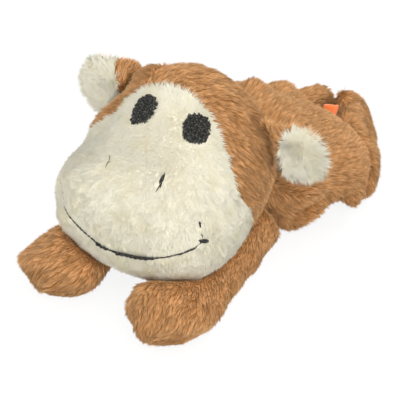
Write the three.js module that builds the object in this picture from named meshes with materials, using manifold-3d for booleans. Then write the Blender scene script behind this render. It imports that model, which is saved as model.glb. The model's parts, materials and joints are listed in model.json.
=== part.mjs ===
// A plush monkey that lies on its belly, with a magnet sewn into each of its four paws.
// Millimetres, +Z up. The face looks towards -Y and the monkey's left side is +X.
// Each stuffed part is a cover of pile cloth round a core of stuffing, and is sewn to the next part
// at a seam that lets it swing. The origin is on the floor, below the middle of the whole toy.

import * as THREE from "three";
import { mergeVertices } from "three/addons/utils/BufferGeometryUtils.js";
import Module from "manifold-3d";

const wasm = await Module();
wasm.setup();

// Cloth, gaps and floor
const COVER = 2; // pile cloth, backing and pile together
const GAP = 0.3; // between two pieces that touch
const SEAM_GAP = 0.5; // at a seam that swings
const SLACK = 0.6; // between the stuffing and its cover
const FLAT = 0.5; // how far the floor flattens what lies on it

// Torso, along a spine from the neck to the rump
const NECK_RADIUS = 15;
const NECK_HEIGHT = 27;
const RUMP_BACK = 30.5; // from the neck's centre to the rump's centre
const RUMP_SHIFT = 10; // the rump lies towards the monkey's left
const RUMP_TURN = 5;
const RUMP_WIDTH = 61;
const RUMP_HEIGHT = 31;
const RUMP_ROUND = 14; // length of the rump's round end
const LOIN_FORWARD = 10; // of the rump's centre, where the spine starts to bend
const CHEST_BACK = 6; // of the neck's centre, where it has bent back
const CHEST_HEIGHT = 23;
const BELLY_WIDTH = 60;
const BELLY_HEIGHT = 42.5;
const BELLY_AT = 31; // from the rump's end
const TORSO_FULLNESS = 2.3; // 2 is oval, and more is squarer
const SIDE_SEAM_HEIGHT = 12;

// Head, from the neck's centre: x to the left ear, y backwards, z to the crown
const CRANIUM_WIDTH = 53.5;
const CRANIUM_DEPTH = 36;
const CRANIUM_HEIGHT = 51;
const CRANIUM_FORWARD = 14.5;
const CRANIUM_RISE = 9;
const CRANIUM_FULLNESS = 2; // 2 is an ellipsoid, and more is squarer
const MUZZLE_WIDTH = 57;
const MUZZLE_DEPTH = 37.6;
const MUZZLE_HEIGHT = 36.6;
const MUZZLE_FORWARD = 38.5;
const MUZZLE_RISE = 0;
const MUZZLE_FULLNESS = 2.64;
const HEAD_BLEND = 3.8; // how sharply the muzzle rises from the cranium
const FACE_SEAM_FORWARD = 30; // at the height where the face is narrowest from front to back
const FACE_SEAM_RISE = 10;
const FACE_SEAM_LEAN = 20.5; // backwards, above that height
const CHIN_SEAM_LEAN = 27; // backwards, below it

// Sewn features of the face, from the head's heart, the point between cranium and muzzle
const EYE_WIDTH = 7.8;
const EYE_HEIGHT = 8.8;
const EYE_SPACING = 17.6;
const EYE_SHIFT = 1; // towards the monkey's left
const EYE_FORWARD = 1.1;
const EYE_RISE = 20;
const EYE_DEPTH = 1.2;
const EYE_PROUD = 0.4;
const STITCH = 1.3; // embroidery thread, two strands side by side
const NOSTRIL_LENGTH = 6;
const NOSTRIL_SPACING = 18.4;
const NOSTRIL_FORWARD = 19.5;
const NOSTRIL_RISE = 12.4;
const MOUTH_WIDTH = 49;
const MOUTH_FORWARD = 28.8;
const MOUTH_CORNER_FORWARD = 20.5;
const MOUTH_DROP = 7.6;
const MOUTH_CORNER_DROP = 0.4;
const MOUTH_TACK = 5; // length of the stitch across each end of the mouth

// Ears
const EAR_WIDTH = 31;
const EAR_HEIGHT = 21;
const EAR_THICKNESS = 8;
const EAR_FULLNESS = 2.6; // 2 is oval, and more is squarer
const EAR_DIMPLE = 0.4; // share of the front's swell that the dimple takes
const EAR_FRONT_WIDTH = 17; // of the cream front, from the ear's outer edge
const EAR_OUT = 3.25; // of the cranium's side, to the ear's middle
const EAR_FORWARD = 12.4; // from the neck's centre
const EAR_RISE = 16.3;
const EAR_TURN = 15; // how far the ear's front turns outwards
const EAR_ROOT = 10; // from the ear's middle to the seam on the head

// Arms
const SHOULDER_SPREAD = 13;
const SHOULDER_BACK = 8; // behind the neck's centre
const ARM_REACH = 74; // from the shoulder to the tip of the paw
const PAW_SPREAD = 19.5;
const PAW_WIDTH = 27.5;
const PAW_HEIGHT = 19.5;
const PAW_ROUND = 12;
const ARM_WIDTH = 20.5;
const ARM_HEIGHT = 17;
const WRIST_AT = 27; // from the tip of the paw
const SHOULDER_ROUND = 8;

// Legs, from a hip on each side of the rump: the left one curls in behind it, up to the right foot
const HIP_SPREAD = 19.3;
const THIGH_FORWARD = 2; // of the hip
const THIGH_WIDTH = 24;
const THIGH_HEIGHT = 21;
const THIGH_ROUND = 8;
const FOOT_WIDTH = 16;
const FOOT_ROUND = 8;
const LEFT_FOOT_HEIGHT = 22.5;
const LEFT_FOOT_BACK = 36.5; // of the hip
const LEFT_FOOT_INWARDS = 23;
const LEFT_KNEE_BACK = 27;
const LEFT_KNEE_INWARDS = 14;
const RIGHT_FOOT_HEIGHT = 18.5;
const RIGHT_FOOT_BACK = 38.5;
const RIGHT_FOOT_INWARDS = 7.4;
const RIGHT_KNEE_BACK = 20;
const RIGHT_KNEE_INWARDS = 2;

// Magnets in felt pockets
const MAGNET_DIAMETER = 6;
const MAGNET_THICKNESS = 3;
const FELT = 0.8;

// Ribbon label in the rump's seam
const LABEL_WIDTH = 6;
const LABEL_REACH = 6.3;
const LABEL_FOLD = 1.6; // from face to face of the folded ribbon
const LABEL_HEIGHT = 19;
const LABEL_LIFT = 57;
const RIBBON = 0.4;

// How far each seam lets its part move, in degrees
const HEAD_NOD = 18;
const ARM_SWING = 30;
const LEG_SWING = 25;
const EAR_FOLD = 20;
const LABEL_FLAP = 10;

const X = new THREE.Vector3(1, 0, 0);
const Y = new THREE.Vector3(0, 1, 0);
const Z = new THREE.Vector3(0, 0, 1);
const SPACE = 400; // wider than the toy
const COVER_SIDES = 14; // flats round a cover
const CORE_SIDES = 7; // and round the stuffing in it
const HEAD_RINGS = 13; // from the nose to the nape
const HEAD_SIDES = 22;
const HEAD_CORE_RINGS = 7;
const HEAD_CORE_SIDES = 10;
const EAR_RINGS = 10; // from front to back
const EAR_SIDES = 16;
const POST_SIDES = 18; // round a magnet or an eye
const THREAD_SIDES = 6;
const MOUTH_STEPS = 12;
const STITCH_STEPS = 4;
const radians = THREE.MathUtils.degToRad;
const vector = (x, y, z) => new THREE.Vector3(x, y, z);

const BROWN_PILE = { color: 0xb5804f, roughness: 0.95, metalness: 0 };
const CREAM_PILE = { color: 0xe4dfc8, roughness: 0.95, metalness: 0 };
const BLACK_THREAD = { color: 0x2f2e2b, roughness: 0.7, metalness: 0 };
const ORANGE_RIBBON = { color: 0xf07a30, roughness: 0.4, metalness: 0 };
const STUFFING = { color: 0xf4f3ee, roughness: 1, metalness: 0 };
const WHITE_FELT = { color: 0xe6e2da, roughness: 1, metalness: 0 };
const NICKEL = { color: 0xb9bcc0, roughness: 0.3, metalness: 1 };

// Solids and meshes

function solidFrom(geometry) {
  const bare = geometry.clone();
  bare.deleteAttribute("normal");
  bare.deleteAttribute("uv");
  const merged = mergeVertices(bare, 1e-4);
  return new wasm.Manifold(
    new wasm.Mesh({
      numProp: 3,
      vertProperties: merged.attributes.position.array,
      triVerts: Uint32Array.from(merged.index.array),
    }),
  );
}

function geometryFrom(solid) {
  const mesh = solid.getMesh();
  const geometry = new THREE.BufferGeometry();
  geometry.setAttribute("position", new THREE.BufferAttribute(mesh.vertProperties, 3));
  geometry.setIndex(new THREE.BufferAttribute(mesh.triVerts, 1));
  geometry.computeVertexNormals();
  return geometry;
}

function addPiece(group, name, solid, look) {
  const mesh = new THREE.Mesh(geometryFrom(solid), new THREE.MeshStandardMaterial(look));
  mesh.name = name;
  group.add(mesh);
}

const moved = (solid, matrix) => solid.transform(matrix.elements);

const turned = (solid, axis, degrees) =>
  moved(solid, new THREE.Matrix4().makeRotationAxis(axis, radians(degrees)));

// All the room that a solid takes up, in the frame of a part that swings through the angles.
const sweptRoom = (solid, axis, angles) =>
  wasm.Manifold.union(angles.map((degrees) => turned(solid, axis, -degrees)));

// The owner's solid, in the frame of another group.
const seenFrom = (group, solid, owner) =>
  moved(solid, group.matrixWorld.clone().invert().multiply(owner.matrixWorld));

// A closed skin over rings of points. A ring of one point is a pole.
function skinOver(rings) {
  const triangles = [];
  let start = 0;
  for (let i = 0; i + 1 < rings.length; i++) {
    const [here, there] = [rings[i].length, rings[i + 1].length];
    const next = start + here;
    for (let k = 0; k < Math.max(here, there); k++) {
      const [a, b] = [start + (k % here), start + ((k + 1) % here)];
      const [c, d] = [next + (k % there), next + ((k + 1) % there)];
      if (here > 1) triangles.push(a, b, c);
      if (there > 1) triangles.push(b, d, c);
    }
    start = next;
  }
  const geometry = new THREE.BufferGeometry().setFromPoints(rings.flat());
  geometry.setIndex(triangles);
  return solidFrom(geometry);
}

// Everything on the side of a plane that its normal points to.
function halfSpace(normal, distance) {
  const box = new THREE.BoxGeometry(SPACE, SPACE, SPACE).translate(0, 0, SPACE / 2 + distance);
  const toNormal = new THREE.Quaternion().setFromUnitVectors(Z, normal.clone().normalize());
  return solidFrom(box.applyQuaternion(toNormal));
}

// A cosine or sine pushed outwards, which turns a circle into a squarer round.
const fuller = (value, fullness) => Math.sign(value) * Math.abs(value) ** (2 / fullness);

// A ring of points round a centre, on two half axes.
const ringOf = (centre, along, across, count, fullness = 2) =>
  Array.from({ length: count }, (_, k) => {
    const angle = (2 * Math.PI * k) / count;
    return centre
      .clone()
      .addScaledVector(along, fuller(Math.cos(angle), fullness))
      .addScaledVector(across, fuller(Math.sin(angle), fullness));
  });

// Stuffed tubes: a round tip, a middle and a round root, along a curve that starts at the tip

const ease = (t) => t * t * (3 - 2 * t);
const eased = (from, to, t) => from + (to - from) * ease(THREE.MathUtils.clamp(t, 0, 1));
const roundEnd = (t) => Math.sqrt(1 - (1 - THREE.MathUtils.clamp(t, 0, 1)) ** 2);

// Half the size across the tube, at a distance from its tip.
function halfAcross({ tip, tipRound, middle, middleAt, root, rootRound, length }, along) {
  const swell =
    along < middleAt
      ? eased(tip, middle, (along - tipRound) / (middleAt - tipRound))
      : eased(middle, root, (along - middleAt) / (length - rootRound - middleAt));
  return (swell / 2) * roundEnd(along / tipRound) * roundEnd((length - along) / rootRound);
}

// The same sizes with cloth taken off all round, or added when the inset is negative.
function inset(profile, by) {
  const { tip, tipRound, middle, middleAt, root, rootRound, length } = profile;
  return {
    tip: tip - 2 * by,
    tipRound: tipRound - by,
    middle: middle - 2 * by,
    middleAt: middleAt - by,
    root: root - 2 * by,
    rootRound: rootRound - by,
    length: length - 2 * by,
  };
}

function stuffedTube({ curve, wide, high, fullness = 2 }, by, around) {
  const [across, upright] = [inset(wide, by), inset(high, by)];
  const endSteps = 3;
  const middleSteps = 4;
  const alongs = [];
  for (let i = 1; i <= endSteps; i++) {
    alongs.push(across.tipRound * (1 - Math.cos((i * Math.PI) / 2 / endSteps)));
  }
  const straight = across.length - across.tipRound - across.rootRound;
  for (let i = 1; i < middleSteps; i++) {
    alongs.push(across.tipRound + (straight * i) / middleSteps);
  }
  for (let i = endSteps; i >= 1; i--) {
    alongs.push(across.length - across.rootRound * (1 - Math.cos((i * Math.PI) / 2 / endSteps)));
  }
  const curveLength = curve.getLength();
  const frameAt = (along) => {
    const distance = along + by;
    const t = THREE.MathUtils.clamp(distance / curveLength, 0, 1);
    const forward = curve.getTangentAt(t);
    const side = Z.clone().cross(forward).normalize();
    const centre = curve.getPointAt(t).addScaledVector(forward, distance - t * curveLength);
    return { centre, side, up: forward.clone().cross(side) };
  };
  const rings = alongs.map((along) => {
    const { centre, side, up } = frameAt(along);
    side.multiplyScalar(halfAcross(across, along));
    up.multiplyScalar(halfAcross(upright, along));
    return ringOf(centre, side, up, around, fullness);
  });
  const tube = skinOver([[frameAt(0).centre], ...rings, [frameAt(across.length).centre]]);
  return tube.intersect(halfSpace(Z, Math.max(by, 0)));
}

// A round thread through points, with rounded ends.
function thread(points, radius, steps) {
  const curve = new THREE.CatmullRomCurve3(points);
  const rings = [];
  for (let i = 0; i <= steps; i++) {
    const t = i / steps;
    const forward = curve.getTangentAt(t);
    const side = (Math.abs(forward.z) > 0.9 ? X : Z).clone().cross(forward).normalize();
    const up = forward.clone().cross(side);
    side.multiplyScalar(radius);
    up.multiplyScalar(radius);
    rings.push(ringOf(curve.getPointAt(t), side, up, THREAD_SIDES));
  }
  const start = curve.getPointAt(0).addScaledVector(curve.getTangentAt(0), -radius);
  const end = curve.getPointAt(1).addScaledVector(curve.getTangentAt(1), radius);
  return skinOver([[start], ...rings, [end]]);
}

// Groups: the torso stays put, and each part that swings has its origin at its seam

const toy = new THREE.Group();
const torso = new THREE.Group();
toy.add(torso);

function groupAt(parent, position, turnX, turnZ) {
  const group = new THREE.Group();
  group.position.copy(position);
  group.rotation.set(radians(turnX), 0, radians(turnZ), "ZXY");
  parent.add(group);
  return group;
}

const neckCentre = vector(0, 0, NECK_HEIGHT);
const rumpCentre = vector(RUMP_SHIFT, RUMP_BACK, RUMP_HEIGHT / 2 - FLAT);
const rumpBack = Y.clone().applyAxisAngle(Z, radians(-RUMP_TURN));
const rumpLeft = X.clone().applyAxisAngle(Z, radians(-RUMP_TURN));
const onRump = (left, back, height) =>
  rumpCentre.clone().setZ(height).addScaledVector(rumpLeft, left).addScaledVector(rumpBack, back);

const head = groupAt(torso, neckCentre, 0, 0);
const label = groupAt(torso, onRump(0, RUMP_ROUND, LABEL_HEIGHT), LABEL_LIFT, -RUMP_TURN);
const leftSide = {
  name: "left",
  sign: 1,
  footHeight: LEFT_FOOT_HEIGHT,
  foot: vector(-LEFT_FOOT_INWARDS, LEFT_FOOT_BACK, LEFT_FOOT_HEIGHT / 2 - FLAT),
  knee: vector(-LEFT_KNEE_INWARDS, LEFT_KNEE_BACK, LEFT_FOOT_HEIGHT / 2 - FLAT),
};
const rightSide = {
  name: "right",
  sign: -1,
  footHeight: RIGHT_FOOT_HEIGHT,
  foot: vector(RIGHT_FOOT_INWARDS, RIGHT_FOOT_BACK, RIGHT_FOOT_HEIGHT / 2 - FLAT),
  knee: vector(RIGHT_KNEE_INWARDS, RIGHT_KNEE_BACK, RIGHT_FOOT_HEIGHT / 2 - FLAT),
};
for (const side of [leftSide, rightSide]) {
  const { sign } = side;
  const earMiddle = vector(sign * (CRANIUM_WIDTH / 2 + EAR_OUT), -EAR_FORWARD, EAR_RISE);
  const earOut = X.clone().applyAxisAngle(Z, radians(sign * EAR_TURN));
  side.ear = groupAt(head, earMiddle.addScaledVector(earOut, -sign * EAR_ROOT), 0, sign * EAR_TURN);
  side.arm = groupAt(torso, vector(sign * SHOULDER_SPREAD, SHOULDER_BACK, 0), 0, 0);
  side.leg = groupAt(torso, onRump(sign * HIP_SPREAD, 0, 0), 0, -RUMP_TURN);
}
toy.updateMatrixWorld(true);

// Torso

const spine = new THREE.CubicBezierCurve3(
  rumpCentre.clone().addScaledVector(rumpBack, RUMP_ROUND),
  rumpCentre.clone().addScaledVector(rumpBack, -LOIN_FORWARD),
  vector(0, CHEST_BACK, CHEST_HEIGHT),
  neckCentre.clone().addScaledVector(Y, -NECK_RADIUS),
);
const torsoSizes = (rump, belly) => ({
  tip: rump,
  tipRound: RUMP_ROUND,
  middle: belly,
  middleAt: BELLY_AT,
  root: 2 * NECK_RADIUS,
  rootRound: NECK_RADIUS,
  length: spine.getLength(),
});
const torsoShape = {
  curve: spine,
  wide: torsoSizes(RUMP_WIDTH, BELLY_WIDTH),
  high: torsoSizes(RUMP_HEIGHT, BELLY_HEIGHT),
  fullness: TORSO_FULLNESS,
};
const torsoLining = stuffedTube(torsoShape, COVER, COVER_SIDES);
const torsoCover = stuffedTube(torsoShape, 0, COVER_SIDES).subtract(torsoLining);
addPiece(torso, "back_panel", torsoCover.intersect(halfSpace(Z, SIDE_SEAM_HEIGHT + GAP)), BROWN_PILE);
addPiece(torso, "belly_panel", torsoCover.subtract(halfSpace(Z, SIDE_SEAM_HEIGHT)), BROWN_PILE);
addPiece(torso, "torso_stuffing", stuffedTube(torsoShape, COVER + SLACK, CORE_SIDES), STUFFING);
const torsoRoom = stuffedTube(torsoShape, -SEAM_GAP, COVER_SIDES);

// Head: a cranium and a broad muzzle that run into each other

const craniumCentre = vector(0, -CRANIUM_FORWARD, CRANIUM_RISE);
const muzzleCentre = vector(0, -MUZZLE_FORWARD, MUZZLE_RISE);
const heart = craniumCentre.clone().lerp(muzzleCentre, 0.5);

// Below 1 inside a rounded lobe, 1 on its skin and above 1 outside.
function lobeLevel(point, centre, [width, depth, height], fullness) {
  const x = Math.abs(point.x - centre.x) / (width / 2);
  const y = Math.abs(point.y - centre.y) / (depth / 2);
  const z = Math.abs(point.z - centre.z) / (height / 2);
  return (x ** fullness + y ** fullness + z ** fullness) ** (1 / fullness);
}

function headLevel(point) {
  const craniumSize = [CRANIUM_WIDTH, CRANIUM_DEPTH, CRANIUM_HEIGHT];
  const cranium = lobeLevel(point, craniumCentre, craniumSize, CRANIUM_FULLNESS);
  const muzzleSize = [MUZZLE_WIDTH, MUZZLE_DEPTH, MUZZLE_HEIGHT];
  const muzzle = lobeLevel(point, muzzleCentre, muzzleSize, MUZZLE_FULLNESS);
  return (cranium ** -HEAD_BLEND + muzzle ** -HEAD_BLEND) ** (-1 / HEAD_BLEND);
}

// The point of the head's skin in a direction from the heart, moved out by proud.
function onHead(direction, proud = 0) {
  const ray = direction.clone().normalize();
  let [inside, outside] = [0, SPACE];
  for (let i = 0; i < 40; i++) {
    const middle = (inside + outside) / 2;
    if (headLevel(heart.clone().addScaledVector(ray, middle)) < 1) inside = middle;
    else outside = middle;
  }
  return heart.clone().addScaledVector(ray, inside + proud);
}

function headNormal(point) {
  const step = 0.01;
  const slope = (axis) => headLevel(point.clone().addScaledVector(axis, step)) - headLevel(point);
  return vector(slope(X), slope(Y), slope(Z)).normalize();
}

// The head's form, moved out by proud, in rings from the nose to the nape.
function headForm(proud, steps = HEAD_RINGS, around = HEAD_SIDES) {
  const rings = [];
  for (let i = 1; i < steps; i++) {
    const back = (Math.PI * i) / steps;
    const across = X.clone().multiplyScalar(Math.sin(back));
    const upright = Z.clone().multiplyScalar(-Math.sin(back));
    const directions = ringOf(vector(0, -Math.cos(back), 0), across, upright, around);
    rings.push(directions.map((direction) => onHead(direction, proud)));
  }
  return skinOver([[onHead(vector(0, -1, 0), proud)], ...rings, [onHead(vector(0, 1, 0), proud)]]);
}

const neckRoom = sweptRoom(seenFrom(head, torsoRoom, torso), X, [0, -HEAD_NOD / 2, -HEAD_NOD]);
const headCover = headForm(0).subtract(headForm(-COVER)).subtract(neckRoom);
const seamFold = vector(0, -FACE_SEAM_FORWARD, FACE_SEAM_RISE);
const frontOfSeam = (lean, away) => {
  const normal = vector(0, -1, 0).applyAxisAngle(X, radians(-lean));
  return halfSpace(normal, normal.dot(seamFold) + away);
};
const frontOfFace = (away) => frontOfSeam(FACE_SEAM_LEAN, away).add(frontOfSeam(-CHIN_SEAM_LEAN, away));
addPiece(head, "head_cover", headCover.subtract(frontOfFace(-GAP / 2)), BROWN_PILE);
const headCore = headForm(-COVER - 3 * SLACK, HEAD_CORE_RINGS, HEAD_CORE_SIDES);
addPiece(head, "head_stuffing", headCore.subtract(neckRoom), STUFFING);

// Face: a cream panel with sewn eyes, nostrils and mouth let into its pile

// An oval post that stands on the head's skin, to cut an eye and its bed with.
function eyePost(centre, normal, wider) {
  const oval = new THREE.CylinderGeometry(0.5, 0.5, 1, POST_SIDES);
  oval.scale(EYE_WIDTH + 2 * wider, 4 * COVER, EYE_HEIGHT + 2 * wider);
  const side = normal.clone().cross(Z).normalize();
  const basis = new THREE.Matrix4().makeBasis(side, normal, side.clone().cross(normal));
  return moved(solidFrom(oval.applyMatrix4(basis)), new THREE.Matrix4().setPosition(centre));
}

let face = headCover.intersect(frontOfFace(GAP / 2));
for (const { name, sign } of [leftSide, rightSide]) {
  const eye = onHead(vector(EYE_SHIFT + (sign * EYE_SPACING) / 2, -EYE_FORWARD, EYE_RISE));
  const normal = headNormal(eye);
  const eyeFloor = headForm(EYE_PROUD - EYE_DEPTH);
  const eyePatch = eyePost(eye, normal, 0).intersect(headForm(EYE_PROUD)).subtract(eyeFloor);
  addPiece(head, name + "_eye", eyePatch, BLACK_THREAD);
  face = face.subtract(eyePost(eye, normal, GAP).subtract(headForm(EYE_PROUD - EYE_DEPTH - GAP)));

  const nostril = vector((sign * NOSTRIL_SPACING) / 2, -NOSTRIL_FORWARD, NOSTRIL_RISE);
  const along = vector(0, (NOSTRIL_LENGTH - STITCH) / 2, 0);
  const ends = [onHead(nostril.clone().sub(along)), onHead(nostril), onHead(nostril.clone().add(along))];
  addPiece(head, name + "_nostril", thread(ends, STITCH / 2, STITCH_STEPS), BLACK_THREAD);
  face = face.subtract(thread(ends, STITCH / 2 + GAP, STITCH_STEPS));
}

const mouthLine = [];
for (let i = 0; i <= MOUTH_STEPS; i++) {
  const t = (2 * i) / MOUTH_STEPS - 1;
  const drop = MOUTH_DROP + (MOUTH_CORNER_DROP - MOUTH_DROP) * t ** 2;
  const forward = MOUTH_FORWARD + (MOUTH_CORNER_FORWARD - MOUTH_FORWARD) * t ** 2;
  mouthLine.push(onHead(vector((MOUTH_WIDTH / 2) * t, -forward, -drop)));
}
const mouthThread = (radius) => {
  const tacks = [mouthLine[0], mouthLine.at(-1)].map((corner) => {
    const up = Z.clone().multiplyScalar(MOUTH_TACK / 2);
    const ray = corner.clone().sub(heart);
    const tack = [onHead(ray.clone().sub(up)), onHead(ray), onHead(ray.clone().add(up))];
    return thread(tack, radius, STITCH_STEPS);
  });
  return wasm.Manifold.union([thread(mouthLine, radius, MOUTH_STEPS), ...tacks]);
};
addPiece(head, "mouth_stitch", mouthThread(STITCH / 2), BLACK_THREAD);
addPiece(head, "face_panel", face.subtract(mouthThread(STITCH / 2 + GAP)), CREAM_PILE);

// Ears: a cream front with a dimple, and a brown back that folds round to the front at the root

function earPad() {
  const depthAt = (angle) => {
    const level = Math.cos(angle);
    const dimple = level > 0 ? 1 - EAR_DIMPLE * level ** 4 : 1;
    return (-EAR_THICKNESS / 2) * level * dimple;
  };
  const rings = [];
  for (let i = 1; i < EAR_RINGS; i++) {
    const angle = (Math.PI * i) / EAR_RINGS;
    const across = X.clone().multiplyScalar((EAR_WIDTH / 2) * Math.sin(angle));
    const upright = Z.clone().multiplyScalar((-EAR_HEIGHT / 2) * Math.sin(angle));
    rings.push(ringOf(vector(0, depthAt(angle), 0), across, upright, EAR_SIDES, EAR_FULLNESS));
  }
  return skinOver([[vector(0, depthAt(0), 0)], ...rings, [vector(0, depthAt(Math.PI), 0)]]);
}

const headRoom = headForm(SEAM_GAP);
const earFrontFrom = EAR_ROOT + EAR_WIDTH / 2 - EAR_FRONT_WIDTH;
for (const { name, sign, ear } of [leftSide, rightSide]) {
  const out = X.clone().multiplyScalar(sign);
  const placed = moved(earPad(), new THREE.Matrix4().setPosition(sign * EAR_ROOT, 0, 0));
  const folds = [-EAR_FOLD, 0, EAR_FOLD];
  const pad = placed.subtract(sweptRoom(seenFrom(ear, headRoom, head), Z, folds));
  const frontRoom = (away) => halfSpace(out, earFrontFrom + away).subtract(halfSpace(Y, -away));
  addPiece(ear, name + "_ear_front", pad.intersect(frontRoom(GAP / 2)), CREAM_PILE);
  addPiece(ear, name + "_ear_back", pad.subtract(frontRoom(-GAP / 2)), BROWN_PILE);
}

// Limbs: a cover, its stuffing, and a magnet in a felt pocket that lies as low as the cover lets it

const pocketRadius = MAGNET_DIAMETER / 2 + GAP + FELT;
const pocketHeight = FELT + GAP + MAGNET_THICKNESS;

function uprightPost(radius, bottom, top) {
  const post = new THREE.CylinderGeometry(radius, radius, top - bottom, POST_SIDES).rotateX(Math.PI / 2);
  return solidFrom(post.translate(0, 0, (bottom + top) / 2));
}

function addLimb(group, name, shape, rooms) {
  const { curve, wide, high } = shape;
  const room = wasm.Manifold.union(rooms);
  const lining = stuffedTube(shape, COVER, COVER_SIDES);
  const cover = stuffedTube(shape, 0, COVER_SIDES).subtract(lining).subtract(room);
  addPiece(group, name + "_cover", cover, BROWN_PILE);

  const along = wide.tipRound + pocketRadius / 2;
  const middle = curve.getPointAt(along / wide.length);
  const thinAt = along + pocketRadius - COVER;
  const fill = (pocketRadius + 2 * GAP) / halfAcross(inset(wide, COVER), thinAt);
  const base = middle.z - halfAcross(inset(high, COVER), thinAt) * Math.sqrt(1 - fill ** 2) + 2 * GAP;
  const toPocket = new THREE.Matrix4().setPosition(middle.x, middle.y, base);
  const bed = moved(uprightPost(pocketRadius + GAP, -high.tip, pocketHeight + GAP), toPocket);
  const stuffing = stuffedTube(shape, COVER + SLACK, CORE_SIDES).subtract(bed).subtract(room);
  addPiece(group, name + "_stuffing", stuffing, STUFFING);

  const pocketOutline = [
    [0, 0],
    [pocketRadius, 0],
    [pocketRadius, pocketHeight],
    [pocketRadius - FELT, pocketHeight],
    [pocketRadius - FELT, FELT],
    [0, FELT],
  ].map(([radius, height]) => new THREE.Vector2(radius, height));
  const pocket = solidFrom(new THREE.LatheGeometry(pocketOutline, POST_SIDES).rotateX(Math.PI / 2));
  addPiece(group, name + "_magnet_pocket", moved(pocket, toPocket), WHITE_FELT);
  const magnet = uprightPost(MAGNET_DIAMETER / 2, FELT + GAP, FELT + GAP + MAGNET_THICKNESS);
  addPiece(group, name + "_magnet", moved(magnet, toPocket), NICKEL);
}

for (const { name, sign, arm, leg, footHeight, foot, knee } of [leftSide, rightSide]) {
  const armHeight = ARM_HEIGHT / 2 - FLAT;
  const pawOut = sign * (PAW_SPREAD - SHOULDER_SPREAD);
  const armCurve = new THREE.QuadraticBezierCurve3(
    vector(pawOut, -ARM_REACH, PAW_HEIGHT / 2 - FLAT),
    vector(pawOut, -ARM_REACH / 2, armHeight),
    vector(0, SHOULDER_ROUND, armHeight),
  );
  const armSizes = (paw, middle) => ({
    tip: paw,
    tipRound: PAW_ROUND,
    middle,
    middleAt: WRIST_AT,
    root: middle,
    rootRound: SHOULDER_ROUND,
    length: armCurve.getLength(),
  });
  const armShape = {
    curve: armCurve,
    wide: armSizes(PAW_WIDTH, ARM_WIDTH),
    high: armSizes(PAW_HEIGHT, ARM_HEIGHT),
  };
  const swings = [0, sign * (ARM_SWING / 2), sign * ARM_SWING];
  const armRooms = [
    sweptRoom(seenFrom(arm, torsoRoom, torso), Z, swings),
    seenFrom(arm, headRoom, head),
  ];
  addLimb(arm, name + "_arm", armShape, armRooms);

  const thigh = vector(0, -THIGH_FORWARD, THIGH_HEIGHT / 2 - FLAT);
  const legCurve = new THREE.QuadraticBezierCurve3(foot, knee, thigh);
  const legSizes = (footSize, thighSize) => ({
    tip: footSize,
    tipRound: FOOT_ROUND,
    middle: (footSize + thighSize) / 2,
    middleAt: legCurve.getLength() / 2,
    root: thighSize,
    rootRound: THIGH_ROUND,
    length: legCurve.getLength(),
  });
  const legShape = {
    curve: legCurve,
    wide: legSizes(FOOT_WIDTH, THIGH_WIDTH),
    high: legSizes(footHeight, THIGH_HEIGHT),
  };
  const spreads = [0, -sign * (LEG_SWING / 2), -sign * LEG_SWING];
  const legRooms = [sweptRoom(seenFrom(leg, torsoRoom, torso), Z, spreads)];
  addLimb(leg, name + "_leg", legShape, legRooms);
}

// Label: a ribbon folded in two, with both ends in the seam

const ribbon = new THREE.Shape();
const foldAt = LABEL_REACH - LABEL_FOLD / 2;
const foldRadius = LABEL_FOLD / 2;
ribbon.moveTo(GAP, -foldRadius);
ribbon.lineTo(foldAt, -foldRadius);
ribbon.absarc(foldAt, 0, foldRadius, -Math.PI / 2, Math.PI / 2);
ribbon.lineTo(GAP, foldRadius);
ribbon.lineTo(GAP, foldRadius - RIBBON);
ribbon.lineTo(foldAt, foldRadius - RIBBON);
ribbon.absarc(foldAt, 0, foldRadius - RIBBON, Math.PI / 2, -Math.PI / 2, true);
ribbon.lineTo(GAP, RIBBON - foldRadius);
const ribbonExtent = { depth: LABEL_WIDTH, bevelEnabled: false, curveSegments: 8 };
const ribbonBand = new THREE.ExtrudeGeometry(ribbon, ribbonExtent).translate(0, 0, -LABEL_WIDTH / 2);
const ribbonLoop = solidFrom(ribbonBand.rotateX(Math.PI / 2).rotateZ(Math.PI / 2));
const flaps = [-LABEL_FLAP, 0, LABEL_FLAP];
const ribbonRoom = sweptRoom(seenFrom(label, torsoRoom, torso), X, flaps);
addPiece(label, "seam_label", ribbonLoop.subtract(ribbonRoom), ORANGE_RIBBON);

const bounds = new THREE.Box3().setFromObject(toy, true);
const middleOfToy = bounds.getCenter(vector(0, 0, 0));
toy.position.set(-middleOfToy.x, -middleOfToy.y, -bounds.min.z);

export default toy;
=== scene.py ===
import json
import math

import bmesh
import bpy
import numpy as np
from mathutils import Matrix, Vector, noise
from mathutils.bvhtree import BVHTree
from mathutils.kdtree import KDTree


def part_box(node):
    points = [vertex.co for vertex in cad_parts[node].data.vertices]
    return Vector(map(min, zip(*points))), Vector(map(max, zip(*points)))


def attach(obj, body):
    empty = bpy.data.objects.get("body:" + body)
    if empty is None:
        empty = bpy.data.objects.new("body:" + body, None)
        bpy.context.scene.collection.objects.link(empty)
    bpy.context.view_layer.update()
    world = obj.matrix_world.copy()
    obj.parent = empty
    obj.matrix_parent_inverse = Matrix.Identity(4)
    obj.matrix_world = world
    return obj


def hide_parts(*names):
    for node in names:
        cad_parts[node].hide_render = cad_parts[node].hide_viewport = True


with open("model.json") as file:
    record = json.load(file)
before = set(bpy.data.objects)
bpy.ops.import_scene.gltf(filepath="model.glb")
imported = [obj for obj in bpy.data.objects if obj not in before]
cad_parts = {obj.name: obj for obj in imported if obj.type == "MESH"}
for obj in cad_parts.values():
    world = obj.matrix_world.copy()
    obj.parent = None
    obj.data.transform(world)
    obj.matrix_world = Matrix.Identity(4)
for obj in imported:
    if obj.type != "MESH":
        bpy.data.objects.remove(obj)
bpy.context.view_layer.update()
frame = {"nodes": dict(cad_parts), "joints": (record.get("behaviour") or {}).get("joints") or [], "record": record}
bpy.context.scene.view_settings.view_transform = "Standard"


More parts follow.
